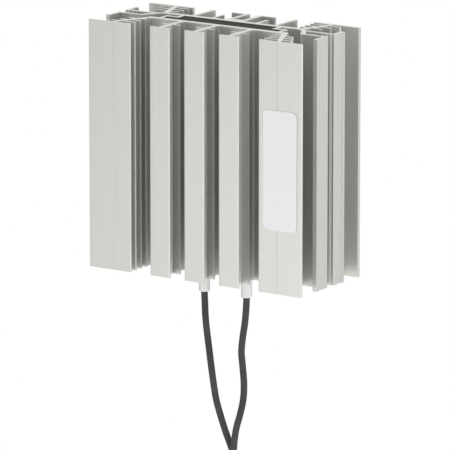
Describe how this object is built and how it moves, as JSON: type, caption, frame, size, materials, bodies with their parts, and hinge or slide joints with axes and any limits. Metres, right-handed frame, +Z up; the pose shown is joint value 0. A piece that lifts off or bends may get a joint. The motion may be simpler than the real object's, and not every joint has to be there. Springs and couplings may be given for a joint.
{
  "type": "enclosure heater",
  "caption": "Finned aluminium enclosure heater of two snapped extrusions round a flat heating core, with supply leads below and a spring clip for a mounting rail behind.",
  "frame": {"origin": "middle of the clip's rear face, where it lies on the mounting rail", "axes": "+X to the right seen from the front, -Y out of the heater's front, +Z up along the extrusions"},
  "size_m": [0.1, 0.0505, 0.2649],
  "materials": {
    "aluminium_front": "satin extruded",
    "aluminium_rear": "satin extruded",
    "amber_film": "smooth film",
    "contact_metal": "smooth",
    "carrier_plastic": "matte",
    "tablet_ceramic": "matte",
    "sealing": "matte cast",
    "brass": "plain",
    "white_sleeve": "smooth",
    "lead_rubber": "smooth silicone",
    "tie_plastic": "matte",
    "ferrule": "tinned",
    "label": "smooth",
    "spring_steel": "zinc plated",
    "screw_steel": "zinc plated"
  },
  "bodies": {
    "root": {"front_profile": "aluminium_front", "rear_profile": "aluminium_rear", "insulation_wrap": "amber_film", "electrode_front": "contact_metal", "electrode_rear": "contact_metal", "tablet_carrier": "carrier_plastic", "ptc_tablet_1": "tablet_ceramic", "ptc_tablet_2": "tablet_ceramic", "ptc_tablet_3": "tablet_ceramic", "ptc_tablet_4": "tablet_ceramic", "potting_top": "sealing", "potting_bottom": "sealing", "crimp_left": "brass", "crimp_right": "brass", "sleeve_left": "white_sleeve", "sleeve_right": "white_sleeve", "lead_left": "lead_rubber", "lead_right": "lead_rubber", "lead_hank": "lead_rubber", "hank_tie": "tie_plastic", "ferrule_left": "ferrule", "ferrule_right": "ferrule", "blank_label": "label", "rail_clip": "spring_steel", "clip_screws": "screw_steel"}
  },
  "joints": []
}
